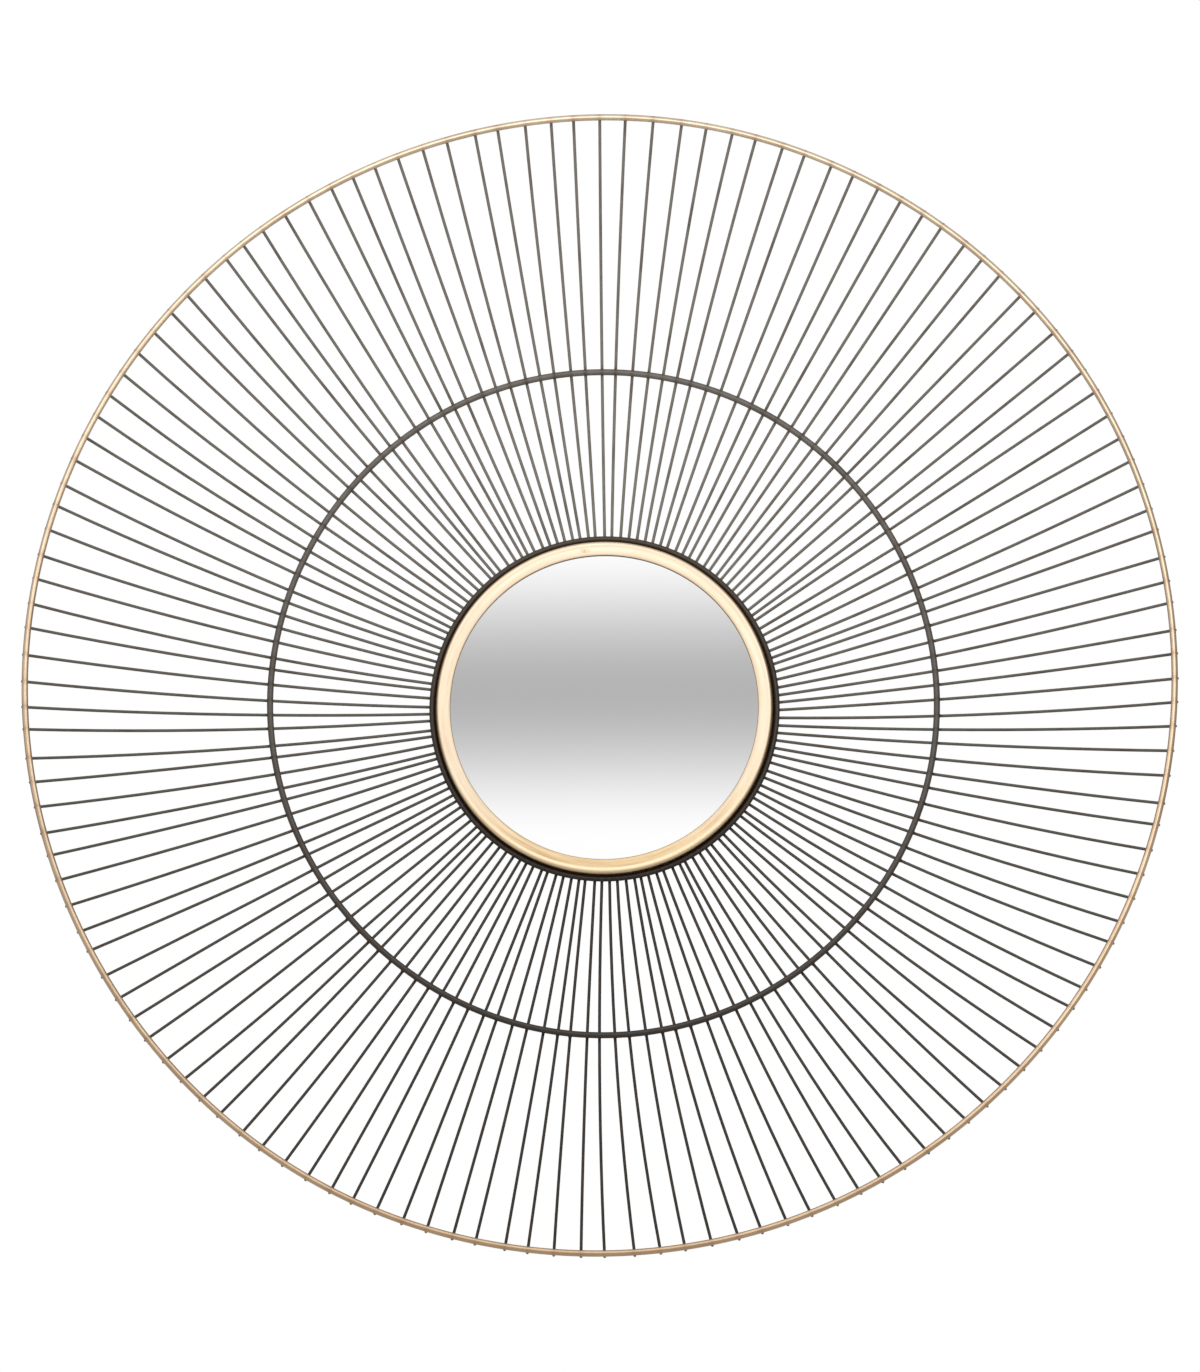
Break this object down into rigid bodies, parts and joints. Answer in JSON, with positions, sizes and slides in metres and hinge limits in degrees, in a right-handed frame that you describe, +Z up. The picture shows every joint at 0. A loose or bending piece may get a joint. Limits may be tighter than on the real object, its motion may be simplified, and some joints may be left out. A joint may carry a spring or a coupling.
{
  "type": "wall mirror",
  "caption": "Round sunburst wall mirror: thin ray wires in a shallow dish behind a gold rim and dark rings, with a gold-framed glass at the centre.",
  "frame": {"origin": "on the flat back of the hanger plate, just below its keyhole, where the mirror rests against the wall", "axes": "+Z up, +Y into the wall; the glass faces -Y and the dish's axis runs along Y, below the origin"},
  "size_m": [0.8005, 0.1173, 0.8029],
  "materials": {
    "gold_paint": "bright gold paint with bronze shading",
    "dark_steel": "dark bronze lacquer, half gloss",
    "satin_gold": "satin pale gold, brushed round the band",
    "silvered_glass": "polished silvered glass",
    "black_paint": "fibreboard painted flat black",
    "zinc_plate": "plain zinc plate"
  },
  "bodies": {
    "root": {"outer_ring": "gold_paint", "middle_ring": "dark_steel", "inner_ring_and_rays": "dark_steel", "mirror_frame": "satin_gold", "mirror_glass": "silvered_glass", "back_plate": "black_paint", "hanger_plate": "zinc_plate"}
  },
  "joints": []
}
